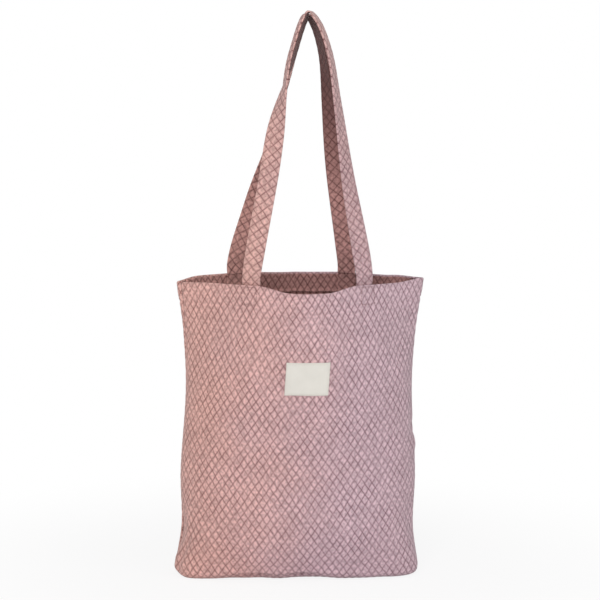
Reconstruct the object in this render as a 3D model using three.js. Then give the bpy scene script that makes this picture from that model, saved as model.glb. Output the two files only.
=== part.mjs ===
// A soft open-topped carry bag of patterned cloth with two long handles.
// Millimetres, +Z up, front towards -Y. The bag stands on the XY plane.
//
// Two flat panels of the same cut are sewn together down both sides and along the bottom.
// The cloth bends but does not stretch, so every level section of the bag is a closed loop
// of one fixed length. The half width of the loop is chosen at a few heights, and its half
// depth follows from the length of the cloth. Everything sewn to a panel is placed on the
// same surface, by its distance along the cloth from the panel's centre line and its
// distance down from the rim.

import * as THREE from 'three';

// ---------------------------------------------------------------- driving sizes
const clothWidth = 374;        // one panel, from side seam to side seam
const bagHeight = 398;         // floor to rim at the side seams
const clothThickness = 2;
const hemDepth = 28;
const hemPly = 1.4;            // the edge turned down inside the mouth
const seamAllowance = 9;
const seamPlies = 2.6;         // both edges of a seam, pressed together
const strapWidth = 25.5;
const strapThickness = 2.6;    // the strap's cloth is folded into four plies
const strapSpacing = 168;      // between the legs' centre lines, along the cloth
const backSpread = 3;          // the back handle's legs are sewn on this much wider apart
const backLegShift = 3.5;      // and this much off centre, towards the left
const handleRise = 355;        // rim to the peak of the front handle
const backPeakDrop = 8.5;      // the back handle's peak lies this much lower
const peakGap = 3.5;           // between the two handles' edges at the peak
const peakShift = 6;           // the peak stands to the right of the bag's middle
const peakTurn = 18;           // degrees by which each strap is off straight ahead at the peak
const labelWidth = 57;
const labelHeight = 44;
const labelDrop = 111;         // rim line to the label's centre
const labelThickness = 1;
const threadWidth = 0.9;
const threadHeight = 0.6;
const fitGap = 0.5;            // between plies that lie on each other
const seamGap = 0.4;           // between two panel edges that meet
const rootGap = 0.4;           // between a handle and the sewn ends it runs on into

// ---------------------------------------------------------------- how the cloth hangs
const baseRound = 16;          // height at which the wall starts to turn under
const baseSquareness = 3;      // of the turn from wall to base
const basePress = 1.5;         // how far the base would sink if the floor gave way
const cornerRise = 4;          // lower corner above the floor
const cornerTuck = 0.035;      // share by which the lower corners draw in below the bulge
const frontSag = 7.5;          // of the front rim between the handle's legs
const sag = { from: -74, full: -24, fullTo: 22, to: 71 };      // where, along the cloth
const backRise = 4;            // of the back rim, either side of its middle
const backRiseWithin = 40;     // from the seam
const backMiddle = 0.7;        // share of the rise missing in the middle
const rightCornerLift = 4;     // of the rim at the right side seam
const leftCornerDrop = 2;      // of the rim at the left side seam
const mouthCreep = 6.5;        // how far both panels have crept round the mouth
const creepFrom = 180;         // height below which nothing has crept

// Level sections: height as a share of the highest rim's, half width as a share of the
// cloth's width, and the two exponents of y = b (1 - |x/a|^bow)^tip. A bow of 2 with a tip
// of 0.5 is an ellipse; the mouth is a lens that comes to an edge at the side seams.
const sections = [
  { at: 0.04, halfWidth: 0.436, bow: 3.4, tip: 0.34 },
  { at: 0.17, halfWidth: 0.416, bow: 2.4, tip: 0.42 },
  { at: 0.35, halfWidth: 0.421, bow: 2.1, tip: 0.48 },
  { at: 0.63, halfWidth: 0.404, bow: 1.9, tip: 0.55 },
  { at: 0.83, halfWidth: 0.415, bow: 1.45, tip: 0.78 },
  { at: 1.0, halfWidth: 0.441, bow: 1.25, tip: 1.0 },
];

// The legs of the handles. profile is the share of the spread left at a share of the rise.
// turning is the stretch, as shares of the leg, over which the strap turns edge-on.
const hang = {
  front: {
    left: {
      profile: [[0.704, 0.4], [0.513, 0.652], [0.255, 0.86], [0.0855, 0.97]],
      turning: [0.42, 0.85],
    },
    right: {
      profile: [[0.7, 0.4], [0.525, 0.652], [0.36, 0.86], [0.15, 0.97]],
      turning: [-0.2, 0.9],
    },
  },
  back: {
    left: {
      profile: [[0.75, 0.27], [0.49, 0.494], [0.35, 0.67], [0.2, 0.86]],
      turning: [0.25, 0.85],
    },
    right: {
      profile: [[0.7, 0.4], [0.525, 0.652], [0.36, 0.86], [0.15, 0.97]],
      turning: [0.25, 0.9],
    },
  },
};
const uprightRoot = 14;        // the strap leaves the mouth straight up
const squaring = 0.8;          // share by which a leg turns square to the front above the rim
const squaredBy = 0.16;        // share of the leg by which it has

// ---------------------------------------------------------------- fineness of the solids
const facetWidth = 23.4;         // two columns of a panel, across the cloth
const acrossSteps = 2 * Math.round(clothWidth / facetWidth);
const wallSteps = 16;
const underSteps = 6;
const handleSteps = 72;
const arcSteps = 96;

// ---------------------------------------------------------------- colours
const paint = {
  cloth: { color: 0xbf9b98, roughness: 0.9 },
  clothInside: { color: 0x8d605d, roughness: 0.95 },
  label: { color: 0xdddcd3, roughness: 0.8 },
  thread: { color: 0xa8827e, roughness: 0.7 },
  labelThread: { color: 0xe6e0d6, roughness: 0.7 },
};

const bag = new THREE.Group();

function add(name, geometry, finish) {
  const material = new THREE.MeshStandardMaterial({ metalness: 0, ...finish });
  const mesh = new THREE.Mesh(geometry, material);
  mesh.name = name;
  bag.add(mesh);
}

function smooth(from, to, value) {
  return THREE.MathUtils.smoothstep(value, from, to);
}

// ---------------------------------------------------------------- the surface of the bag
// Smooth value between the section heights.
function between(key, share) {
  const last = sections.length - 1;
  let i = 0;
  while (i < last - 1 && share > sections[i + 1].at) i += 1;
  const here = sections[i];
  const next = sections[i + 1];
  const before = sections[Math.max(i - 1, 0)];
  const after = sections[Math.min(i + 2, last)];
  const span = next.at - here.at;
  const t = THREE.MathUtils.clamp((share - here.at) / span, 0, 1);
  const slopeHere = span * (next[key] - before[key]) / (next.at - before.at);
  const slopeNext = span * (after[key] - here[key]) / (after.at - here.at);
  const t2 = t * t;
  const t3 = t2 * t;
  return here[key] * (2 * t3 - 3 * t2 + 1) + slopeHere * (t3 - 2 * t2 + t)
    + next[key] * (3 * t2 - 2 * t3) + slopeNext * (t3 - t2);
}

// Half section as points (x, y >= 0) from the left seam to the right seam, with the
// distance along it. The angle makes the points closer together near the seams.
function halfSection(a, b, bow, tip) {
  const points = [];
  let length = 0;
  for (let i = 0; i <= arcSteps; i += 1) {
    const x = -Math.cos(Math.PI * i / arcSteps);
    const y = Math.pow(Math.max(1 - Math.pow(Math.abs(x), bow), 0), tip);
    const point = { x: a * x, y: b * y, s: 0 };
    if (i > 0) {
      const last = points[i - 1];
      length += Math.hypot(point.x - last.x, point.y - last.y);
      point.s = length;
    }
    points.push(point);
  }
  return { points, length };
}

const sectionStore = new Map();

function sectionAt(height) {
  const z = THREE.MathUtils.clamp(height, baseRound, bagHeight + rightCornerLift);
  if (sectionStore.has(z)) return sectionStore.get(z);
  const share = z / (bagHeight + rightCornerLift);
  const a = clothWidth * between('halfWidth', share);
  const bow = between('bow', share);
  const tip = between('tip', share);
  let low = 0;
  let high = clothWidth / 2;
  for (let i = 0; i < 40; i += 1) {
    const b = (low + high) / 2;
    if (halfSection(a, b, bow, tip).length < clothWidth) low = b;
    else high = b;
  }
  const section = { ...halfSection(a, low, bow, tip), a, b: low };
  sectionStore.set(z, section);
  return section;
}

// Point of a section at a distance s along the cloth from the panel's centre line.
// Past a seam the loop runs on into the other panel.
function alongSection(section, s) {
  const half = section.length / 2;
  if (s > half) {
    const p = alongSection(section, s - section.length);
    return { x: -p.x, y: -p.y };
  }
  if (s < -half) {
    const p = alongSection(section, s + section.length);
    return { x: -p.x, y: -p.y };
  }
  const target = s + half;
  const { points } = section;
  let low = 0;
  let high = points.length - 1;
  while (high - low > 1) {
    const middle = (low + high) >> 1;
    if (points[middle].s <= target) low = middle;
    else high = middle;
  }
  const t = (target - points[low].s) / (points[high].s - points[low].s);
  return {
    x: points[low].x + t * (points[high].x - points[low].x),
    y: points[low].y + t * (points[high].y - points[low].y),
  };
}

// Height of the rim at distance s along the cloth. side is +1 on the front panel and -1
// on the back panel, and both count s from left to right as seen from their own outside.
function rimHeight(side, s) {
  const towardsRight = side * s / (clothWidth / 2);
  const lift = rightCornerLift * smooth(0.72, 1, towardsRight);
  const drop = leftCornerDrop * smooth(0.72, 1, -towardsRight);
  const level = bagHeight + lift - drop;
  const dip = smooth(sag.from, sag.full, s) * (1 - smooth(sag.fullTo, sag.to, s));
  if (side > 0) return level - frontSag * dip;
  const fromSeam = clothWidth / 2 - Math.abs(s);
  const middle = 1 - smooth(0, strapSpacing / 2, Math.abs(s));
  return level + backRise * smooth(0, backRiseWithin, fromSeam) * (1 - backMiddle * middle);
}

// Outer face of a panel. s runs across the cloth. down is the distance below the rim, and
// under goes from 0, where the wall starts to turn, to 1, at the bottom seam.
function outerPoint(side, s, down, under) {
  const top = rimHeight(side, s);
  const z = under > 0 ? baseRound : top - down;
  const section = sectionAt(z);
  const creep = mouthCreep * smooth(creepFrom, bagHeight, z);
  const scaled = s * section.length / clothWidth;
  const p = alongSection(section, scaled + creep);
  let { x } = p;
  let y = p.y;
  let height = z;
  if (under > 0) {
    const angle = under * Math.PI / 2;
    const power = 2 / baseSquareness;
    const edge = smooth(0.8, 1, Math.abs(s) / (clothWidth / 2));
    const lowest = THREE.MathUtils.lerp(-basePress, cornerRise, edge);
    x *= 1 - cornerTuck * (1 - Math.cos(angle));
    y *= Math.pow(Math.max(Math.cos(angle), 0), power);
    height = baseRound - (baseRound - lowest) * Math.pow(Math.sin(angle), power);
    height = Math.max(height, 0);
  }
  return new THREE.Vector3(side * x, -side * y, height);
}

// Outward normal, from points a little to each side on the same face.
function outwardNormal(side, s, down, under) {
  const step = 1.5;
  const half = clothWidth / 2;
  const s0 = Math.max(s - step, -half);
  const s1 = Math.min(s + step, half);
  const across = outerPoint(side, s1, down, under).sub(outerPoint(side, s0, down, under));
  let up;
  if (under > 0) {
    const u0 = Math.max(under - 0.03, 0.001);
    const u1 = Math.min(under + 0.03, 1);
    up = outerPoint(side, s, 0, u0).sub(outerPoint(side, s, 0, u1));
  } else {
    up = outerPoint(side, s, down - step, 0).sub(outerPoint(side, s, down + step, 0));
  }
  return across.cross(up).normalize();
}

// A point at a distance out from the outer face, negative towards the inside.
function surfacePoint(side, s, down, out, under = 0) {
  const point = outerPoint(side, s, down, under);
  return point.addScaledVector(outwardNormal(side, s, down, under), out);
}

function bend(geometry, place) {
  const position = geometry.attributes.position;
  const v = new THREE.Vector3();
  for (let i = 0; i < position.count; i += 1) {
    v.fromBufferAttribute(position, i);
    const p = place(v.x, v.y, v.z);
    position.setXYZ(i, p.x, p.y, p.z);
  }
  geometry.computeVertexNormals();
  return geometry;
}

// ---------------------------------------------------------------- panels
const half = clothWidth / 2;
const cutHalf = half - seamGap / 2;    // each panel stops half a gap short of its seams

function panel(side) {
  const rows = wallSteps + underSteps;
  const box = new THREE.BoxGeometry(2 * cutHalf, rows, 1, acrossSteps, rows, 1);
  return bend(box, (s, y, layer) => {
    const row = rows / 2 - y;
    const wall = Math.min(row / wallSteps, 1);
    const under = Math.max((row - wallSteps) / underSteps, 0);
    const down = wall * (rimHeight(side, s) - baseRound);
    const point = surfacePoint(side, s, down, layer > 0 ? 0 : -clothThickness, under);
    if (under > 1 - 1e-6) point.y = -side * seamGap / 2;
    return point;
  });
}

add('front_panel', panel(1), paint.cloth);
add('back_panel', panel(-1), paint.cloth);

// ---------------------------------------------------------------- plies laid on a panel
// Distances out from the panel's outer face, ply by ply.
const insideFace = -clothThickness;
const hemOuter = insideFace - fitGap;
const hemInner = hemOuter - hemPly;
const strapOuter = hemInner - fitGap;
const strapInner = strapOuter - strapThickness;
const strapMiddle = (strapOuter + strapInner) / 2;
const seamInner = hemOuter - seamPlies;
const sideCurveRoom = 0.3;       // the sides are the tightest curve, and the facets cut it
const labelBack = fitGap;
const labelFace = labelBack + labelThickness;

// A rectangle bent to the wall of a panel. centre is { s, down }, size { width, height }.
function patch(side, centre, size, from, to, steps) {
  const box = new THREE.BoxGeometry(size.width, size.height, 1, steps[0], steps[1], 1);
  return bend(box, (x, y, layer) => {
    const out = layer > 0 ? Math.max(from, to) : Math.min(from, to);
    return surfacePoint(side, centre.s + x, centre.down - y, out);
  });
}

// The panel's own columns between two places, with the two places as the ends. A strip
// with these columns has flat facets that nest against the panel's.
function columnsBetween(first, last) {
  const columns = [first];
  for (let i = 0; i <= acrossSteps; i += 1) {
    const s = cutHalf * (2 * i / acrossSteps - 1);
    if (s > first + 1 && s < last - 1) columns.push(s);
  }
  columns.push(last);
  return columns;
}

// A strip that runs across a panel from one place to another.
function strip(first, last, rows, place) {
  const columns = columnsBetween(first, last);
  const count = columns.length - 1;
  const box = new THREE.BoxGeometry(count, 1, 1, count, rows, 1);
  return bend(box, (x, y, layer) => place(columns[Math.round(x + count / 2)], y, layer));
}

function wallStrip(side, down, height, from, to, rows) {
  return strip(hemStart, hemEnd, rows, (s, y, layer) => {
    const out = layer > 0 ? Math.max(from, to) : Math.min(from, to);
    return surfacePoint(side, s, down - y * height, out);
  });
}

// The rim edge is turned down inside. Each ply starts at the seam on its left and stops
// short of the narrow corner of the mouth on its right, which the panel has crept round.
const hemCornerGap = 13;
const hemStart = hemCornerGap - half;
const hemEnd = half - hemCornerGap - mouthCreep;
const hemTopInset = 0.6;
const hemHeight = hemDepth - hemTopInset;

function hem(side) {
  return wallStrip(side, hemTopInset + hemHeight / 2, hemHeight, hemOuter, hemInner, 2);
}

add('front_hem', hem(1), paint.clothInside);
add('back_hem', hem(-1), paint.clothInside);

// ---------------------------------------------------------------- seam allowances inside
// A side seam's allowance is pressed onto the panel whose left edge it is, from the ear at
// the bottom up to the hem.
function sideSeam(side) {
  const top = hemDepth + 1;
  const bottom = bagHeight - baseRound - seamAllowance;
  const centre = { s: -cutHalf + seamAllowance / 2, down: (top + bottom) / 2 };
  const size = { width: seamAllowance, height: bottom - top };
  const from = hemOuter - sideCurveRoom;
  return patch(side, centre, size, from, from - seamPlies, [1, wallSteps]);
}

add('left_side_seam', sideSeam(1), paint.clothInside);
add('right_side_seam', sideSeam(-1), paint.clothInside);

// The bottom seam's allowance lies flat on the base, on the front panel.
function bottomSeam() {
  const reach = 0.88;            // share of the panel, up to where the ears turn up
  const nearSeam = 0.992;
  const farEdge = 0.955;
  return strip(-reach * half, reach * half, 2, (s, y, layer) => {
    const under = THREE.MathUtils.lerp(nearSeam, farEdge, y + 0.5);
    return surfacePoint(1, s, 0, layer > 0 ? hemOuter : seamInner, under);
  });
}

add('bottom_seam', bottomSeam(), paint.clothInside);

// ---------------------------------------------------------------- sewn handle ends
function legPlace(side, leg) {
  if (side > 0) return leg * strapSpacing / 2;
  return leg * (strapSpacing + backSpread) / 2 + backLegShift;
}

const endTopInset = 0.2;
const sewnSize = { width: strapWidth, height: hemDepth - endTopInset };

function sewnEnd(side, leg) {
  const centre = { s: legPlace(side, leg), down: endTopInset + sewnSize.height / 2 };
  return patch(side, centre, sewnSize, strapOuter, strapInner, [3, 2]);
}

// ---------------------------------------------------------------- stitching
// A line of thread round a rectangle: a torus whose ring is drawn out to the rectangle's
// edge, so that the thread is one closed loop. steps is a multiple of 8.
function stitchRing(width, height, steps, place) {
  const thread = 0.5;
  const ring = new THREE.TorusGeometry(1, thread, 4, steps);
  return bend(ring, (x, y, z) => {
    const reach = Math.hypot(x, y);
    const square = reach / Math.max(Math.abs(x), Math.abs(y));
    const outset = (reach - 1) / thread * threadWidth / 2;
    const px = x / reach * square * (width / 2 + outset);
    const py = y / reach * square * (height / 2 + outset);
    return place(px, py, (z / thread + 1) * threadHeight / 2);
  });
}

const boxInset = 2.5;            // the stitched box lies inside the strap's edges
const boxSize = { width: strapWidth - 2 * boxInset, height: hemDepth - 6 };
const boxDrop = 3 + boxSize.height / 2;

function boxStitching(side, leg) {
  return stitchRing(boxSize.width, boxSize.height, 16, (x, y, out) => (
    surfacePoint(side, legPlace(side, leg) + x, boxDrop - y, fitGap + out)
  ));
}

const sides = [['front', 1], ['back', -1]];
// On each panel a leg of -1 is on the left as seen from that panel's own outside.
const legs = (side) => [['left', -side], ['right', side]];

for (const [where, side] of sides) {
  for (const [hand, leg] of legs(side)) {
    add(`${where}_${hand}_handle_end`, sewnEnd(side, leg), paint.clothInside);
    add(`${where}_${hand}_box_stitching`, boxStitching(side, leg), paint.thread);
  }
}

// One row of stitching holds each hem, just above the hem's lower edge.
const hemStitchDrop = hemDepth - 1.5;

function hemStitching(side) {
  return wallStrip(side, hemStitchDrop, threadWidth, fitGap, fitGap + threadHeight, 1);
}

for (const [where, side] of sides) {
  add(`${where}_hem_stitching`, hemStitching(side), paint.thread);
}

// ---------------------------------------------------------------- label
function labelPoint(x, y, out) {
  return surfacePoint(1, x, labelDrop - y, out);
}

function label() {
  const box = new THREE.BoxGeometry(labelWidth, labelHeight, 1, 8, 4, 1);
  return bend(box, (x, y, layer) => labelPoint(x, y, layer > 0 ? labelFace : labelBack));
}

const labelStitchInset = 2;

function labelStitching() {
  const width = labelWidth - 2 * labelStitchInset;
  const height = labelHeight - 2 * labelStitchInset;
  return stitchRing(width, height, 48, (x, y, out) => (
    labelPoint(x, y, labelFace + fitGap + out)
  ));
}

add('woven_label', label(), paint.label);
add('label_stitching', labelStitching(), paint.labelThread);

// ---------------------------------------------------------------- handles
// Each handle is one flat strap. It leaves the mouth in line with its sewn ends, and its
// legs lean together and turn edge-on, so that at the peak its width points front to back.
function legRoot(side, leg) {
  const s = legPlace(side, leg);
  const root = surfacePoint(side, s, 0, strapMiddle);
  const normal = outwardNormal(side, s, 0, 0);
  root.z += rootGap - endTopInset;
  return { root, angle: Math.atan2(normal.x, -normal.y) };
}

function handle(where, side) {
  const drop = side > 0 ? 0 : backPeakDrop;
  const left = { ...legRoot(side, -side), ...hang[where].left };
  const right = { ...legRoot(side, side), ...hang[where].right };
  const rootHeight = (left.root.z + right.root.z) / 2;
  const top = rootHeight + handleRise - drop - strapThickness / 2;
  const peak = new THREE.Vector3(peakShift, -side * (strapWidth + peakGap) / 2, top);
  const onLeg = (leg, [spread, rise]) => new THREE.Vector3(
    THREE.MathUtils.lerp(peak.x, leg.root.x, spread),
    THREE.MathUtils.lerp(leg.root.y, peak.y, rise),
    THREE.MathUtils.lerp(leg.root.z, peak.z, rise),
  );
  const legPoints = (leg) => {
    const upright = leg.root.clone().setZ(leg.root.z + uprightRoot);
    return [leg.root, upright, ...leg.profile.map((share) => onLeg(leg, share))];
  };
  const path = new THREE.CatmullRomCurve3([
    ...legPoints(left),
    peak,
    ...legPoints(right).reverse(),
  ]);
  path.arcLengthDivisions = 600;
  // Plan angle of the strap's width. At each root it lies along the panel, above the rim it
  // turns nearly square to the front, and at the peak it points almost straight ahead.
  const atPeak = -Math.PI / 2 - side * THREE.MathUtils.degToRad(peakTurn);
  const widthAngle = (along) => {
    const fromRoot = 1 - Math.abs(2 * along - 1);
    const leg = along < 0.5 ? left : right;
    const atRoot = along < 0.5 ? leg.angle : leg.angle - Math.PI;
    const square = Math.round(atRoot / Math.PI) * Math.PI;
    const settled = smooth(0, squaredBy, fromRoot);
    const low = THREE.MathUtils.lerp(atRoot, square, squaring * settled);
    return THREE.MathUtils.lerp(low, atPeak, settled * smooth(...leg.turning, fromRoot));
  };
  const box = new THREE.BoxGeometry(strapWidth, 1, strapThickness, 1, handleSteps, 1);
  return bend(box, (x, y, z) => {
    const along = y + 0.5;
    const angle = widthAngle(along);
    const centre = path.getPointAt(along);
    const tangent = path.getTangentAt(along);
    const across = new THREE.Vector3(Math.cos(angle), Math.sin(angle), 0);
    across.addScaledVector(tangent, -across.dot(tangent)).normalize();
    const outward = across.clone().cross(tangent);
    return centre.addScaledVector(across, x).addScaledVector(outward, z);
  });
}

add('front_handle', handle('front', 1), paint.cloth);
add('back_handle', handle('back', -1), paint.cloth);

export default bag;
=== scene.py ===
# %% [markdown]
# # A soft carry bag in lattice cloth
#
# This is an ordinary open-topped shopper: two panels of patterned cloth sewn together down
# both sides and along the bottom, a rim turned down inside, two long straps sewn inside the
# rim, and a small woven label on the front. Nothing in it is stiff. What makes it look like
# cloth is that its shape follows from its cut: the panels bend and hang but don't stretch.
#
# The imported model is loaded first. It gives the bodies that each piece rides on.

# %% Load the frame
import math

import bmesh
import bpy
import numpy as np
from mathutils import Matrix, Quaternion, Vector


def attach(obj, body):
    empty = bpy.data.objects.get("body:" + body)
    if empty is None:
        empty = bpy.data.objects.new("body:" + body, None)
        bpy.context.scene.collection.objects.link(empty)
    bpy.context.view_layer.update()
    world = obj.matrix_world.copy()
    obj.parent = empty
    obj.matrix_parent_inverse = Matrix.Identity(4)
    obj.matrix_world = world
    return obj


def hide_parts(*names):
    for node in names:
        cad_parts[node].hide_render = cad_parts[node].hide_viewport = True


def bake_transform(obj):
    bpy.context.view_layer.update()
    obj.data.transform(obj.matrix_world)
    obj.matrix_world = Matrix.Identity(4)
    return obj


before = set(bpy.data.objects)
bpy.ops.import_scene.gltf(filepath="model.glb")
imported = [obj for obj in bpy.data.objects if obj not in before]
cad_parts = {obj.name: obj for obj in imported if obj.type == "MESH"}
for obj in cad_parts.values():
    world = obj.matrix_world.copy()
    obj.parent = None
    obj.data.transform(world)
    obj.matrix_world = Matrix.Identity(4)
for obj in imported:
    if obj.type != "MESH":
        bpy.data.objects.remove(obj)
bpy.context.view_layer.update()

print("nodes:", len(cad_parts))

# %% [markdown]
# ## Sizes of the cut cloth
#
# The bag is described the way a pattern cutter would: by the width of the flat panel, the
# height at which it stands, and the widths of hem, strap and label. Everything is in metres,
# so each value is written in millimetres and multiplied once.

# %% Sizes
MM = 0.001
cloth_width = 374 * MM          # one panel, side seam to side seam
half = cloth_width / 2
bag_height = 398 * MM           # floor to rim at the side seams
cloth_thickness = 1.9 * MM
hem_depth = 28 * MM
hem_ply = 1.4 * MM
ply_gap = 0.5 * MM              # between plies that lie on each other
strap_width = 25.5 * MM
strap_thickness = 2.6 * MM
strap_spacing = 168 * MM        # between the legs' centre lines, along the cloth
back_spread = 3 * MM            # the back handle's legs are sewn on this much wider apart
back_leg_shift = 3.5 * MM       # and this much off centre, towards the left
handle_rise = 355 * MM
back_peak_drop = 8.5 * MM
peak_gap = 3.5 * MM             # between the two handles' edges at the peak
peak_shift = 6 * MM
peak_turn = math.radians(18)    # by which each strap is off straight ahead at the peak
label_size = (57 * MM, 44 * MM)
label_drop = 111 * MM
fold_radius = 1.95 * MM         # of the rim, where the cloth turns over
hem_face = 2 * fold_radius      # the hem's face lies this far inside the outer face
hem_stitch_drop = hem_depth - 1.5 * MM

# How the cloth hangs.
base_round = 16 * MM
base_squareness = 3
base_press = 1.5 * MM
corner_rise = 4 * MM
corner_tuck = 0.035
front_sag = 7.5 * MM
sag_from, sag_full, sag_full_to, sag_to = -74 * MM, -24 * MM, 22 * MM, 71 * MM   # along the cloth
back_rise = 4 * MM              # of the back rim, either side of its middle
back_rise_within = 40 * MM      # from the seam
back_middle = 0.7               # share of the rise missing in the middle
right_corner_lift = 4 * MM
left_corner_drop = 2 * MM
mouth_creep = 6.5 * MM
creep_from = 180 * MM

# The lattice of the cloth: a diamond is as wide as two lines' crossing, and taller.
diamond_width = 9.75 * MM
diamond_height = 14.3 * MM
strap_diamond = (12.2 * MM, 12.4 * MM)   # pulled nearly square on the straps
off_grain = 0.023               # the lattice leans by this much against the cut edges

print("standing height to the rim, mm:", round(bag_height / MM))

# %% [markdown]
# ## The surface that the bag stands in
#
# Cloth that can't stretch gives a strong rule: at every height, the loop round the bag has
# one and the same length. So only the half width of the loop is chosen, at a few heights,
# and its half depth is solved for. The result is kept in a table, and every piece of the
# bag, down to a stitch, is placed on it by its distance along the cloth.

# %% Level sections, solved for the cloth's length
# height and half width as shares of the bag's height and the cloth's width, then the two
# exponents of y = b (1 - |x/a|^bow)^tip
sections = np.array([
    (0.04, 0.436, 3.4, 0.34),
    (0.17, 0.416, 2.4, 0.42),
    (0.35, 0.421, 2.1, 0.48),
    (0.63, 0.404, 1.9, 0.55),
    (0.83, 0.415, 1.45, 0.78),
    (1.00, 0.441, 1.25, 1.0),
])


def between(column, share):
    """A smooth value between the section heights."""
    at = sections[:, 0]
    values = sections[:, column]
    last = len(at) - 1
    slopes = np.empty(last + 1)
    slopes[1:-1] = (values[2:] - values[:-2]) / (at[2:] - at[:-2])
    slopes[0] = (values[1] - values[0]) / (at[1] - at[0])
    slopes[-1] = (values[-1] - values[-2]) / (at[-1] - at[-2])
    i = np.clip(np.searchsorted(at, share) - 1, 0, last - 1)
    span = at[i + 1] - at[i]
    t = np.clip((share - at[i]) / span, 0, 1)
    return (values[i] * (2 * t**3 - 3 * t**2 + 1) + slopes[i] * span * (t**3 - 2 * t**2 + t)
            + values[i + 1] * (3 * t**2 - 2 * t**3) + slopes[i + 1] * span * (t**3 - t**2))


def half_loops(a, b, bow, tip):
    """Half sections from the left seam to the right one, one row for each height."""
    x = -np.cos(np.linspace(0, np.pi, 385))[None, :]
    y = np.maximum(1 - np.abs(x) ** bow[:, None], 0) ** tip[:, None]
    x, y = a[:, None] * x, b[:, None] * y
    steps = np.hypot(np.diff(x, axis=1), np.diff(y, axis=1))
    length = np.concatenate([np.zeros((len(a), 1)), np.cumsum(steps, axis=1)], axis=1)
    return x, y, length


table_z = np.linspace(base_round, bag_height + right_corner_lift, 260)
share = table_z / table_z[-1]
half_width = cloth_width * between(1, share)
bow, tip = between(2, share), between(3, share)
low, high = np.zeros(len(share)), np.full(len(share), half)
for _ in range(36):
    middle = (low + high) / 2
    short = half_loops(half_width, middle, bow, tip)[2][:, -1] < cloth_width
    low, high = np.where(short, middle, low), np.where(short, high, middle)
half_depth = low
loop_x, loop_y, loop_s = half_loops(half_width, half_depth, bow, tip)

table_s = np.linspace(-0.5, 0.5, 1001)
table_x = np.array([np.interp(table_s * s[-1] + s[-1] / 2, s, x) for s, x in zip(loop_s, loop_x)])
table_y = np.array([np.interp(table_s * s[-1] + s[-1] / 2, s, y) for s, y in zip(loop_s, loop_y)])
print("mouth, mm:", round(2 * half_width[-1] / MM), "wide and", round(2 * half_depth[-1] / MM), "deep")

# %% [markdown]
# ### Reading the surface
#
# `side` is +1 on the front panel and -1 on the back one, which is the front turned half
# round. `s` runs across the cloth from its centre line, `z` is the height, and `under` goes
# from 0, where the wall starts to turn under the bag, to 1 at the bottom seam.

# %% A point on the outer face, and the normal there


def smooth(low, high, value):
    t = np.clip((value - low) / (high - low), 0, 1)
    return t * t * (3 - 2 * t)


def look_up(table, s_share, z):
    """Bilinear reading of a table of rows of heights and columns of shares of the cloth."""
    row = np.clip((z - table_z[0]) / (table_z[1] - table_z[0]), 0, len(table_z) - 1.001)
    column = np.clip((s_share + 0.5) * (len(table_s) - 1), 0, len(table_s) - 1.001)
    i, j = row.astype(int), column.astype(int)
    u, v = row - i, column - j
    return ((1 - u) * ((1 - v) * table[i, j] + v * table[i, j + 1])
            + u * ((1 - v) * table[i + 1, j] + v * table[i + 1, j + 1]))


def rim_height(side, s):
    """Height of the rim: the front sags between the straps, and the corners differ."""
    lift = right_corner_lift * smooth(0.72, 1, side * s / half)
    drop = left_corner_drop * smooth(0.72, 1, -side * s / half)
    level = bag_height + lift - drop
    if side > 0:
        return level - front_sag * smooth(sag_from, sag_full, s) * (1 - smooth(sag_full_to, sag_to, s))
    middle = 1 - smooth(0, strap_spacing / 2, np.abs(s))
    return level + back_rise * smooth(0, back_rise_within, half - np.abs(s)) * (1 - back_middle * middle)


def outer_point(side, s, z, under):
    """Points of the outer face, as an array of rows (x, y, z)."""
    z = np.where(under > 0, base_round, z)
    creep = mouth_creep * smooth(creep_from, bag_height, z)
    t = (s + creep) / cloth_width
    turned = np.where(np.abs(t) > 0.5, -1.0, 1.0)      # past a seam, on the other panel
    t = t - np.round(t)
    x = turned * look_up(table_x, t, z)
    y = turned * look_up(table_y, t, z)
    angle = np.clip(under, 0, 1) * np.pi / 2
    power = 2 / base_squareness
    edge = smooth(0.8, 1, np.abs(s) / half)
    lowest = -base_press + (corner_rise + base_press) * edge
    x = x * (1 - corner_tuck * (1 - np.cos(angle)))
    y = y * np.maximum(np.cos(angle), 0) ** power
    turned_under = base_round - (base_round - lowest) * np.sin(angle) ** power
    z = np.where(under > 0, np.maximum(turned_under, 0), z)
    return np.stack([side * x, -side * y, z], axis=-1)


def outward(side, s, z, under):
    """Unit normals of the outer face."""
    step = 1.5 * MM
    across = (outer_point(side, np.minimum(s + step, half), z, under)
              - outer_point(side, np.maximum(s - step, -half), z, under))
    on_wall = outer_point(side, s, z + step, 0 * s) - outer_point(side, s, z - step, 0 * s)
    below = (outer_point(side, s, z, np.maximum(under - 0.03, 0.001))
             - outer_point(side, s, z, np.minimum(under + 0.03, 1)))
    up = np.where((under > 0)[:, None], below, on_wall)
    normal = np.cross(across, up)
    return normal / np.linalg.norm(normal, axis=1)[:, None]


print("centre of the front at half height, mm:",
      np.round(outer_point(1, np.zeros(1), np.full(1, bag_height / 2), np.zeros(1))[0] / MM, 1))

# %% [markdown]
# ### What the cloth does on top of that
#
# A soft bag is never an exact loft. The lower left corner is pushed in to an ear with a
# crease above it, the right side has a shallow dent, the front folds under in two places at
# the floor, the straps draw the rim out, and long soft waves run down the panels.
# Each is a small distance in or out along the normal.

# %% Creases, dents and waves


def bump_at(s, z, s0, z0, across, up, turn=0.0):
    """A soft round hill of height 1 at (s0, z0), drawn out by across and up."""
    c, d = math.cos(turn), math.sin(turn)
    u = ((s - s0) * c + (z - z0) * d) / across
    v = ((z - z0) * c - (s - s0) * d) / up
    return np.exp(-(u * u + v * v))


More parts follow.
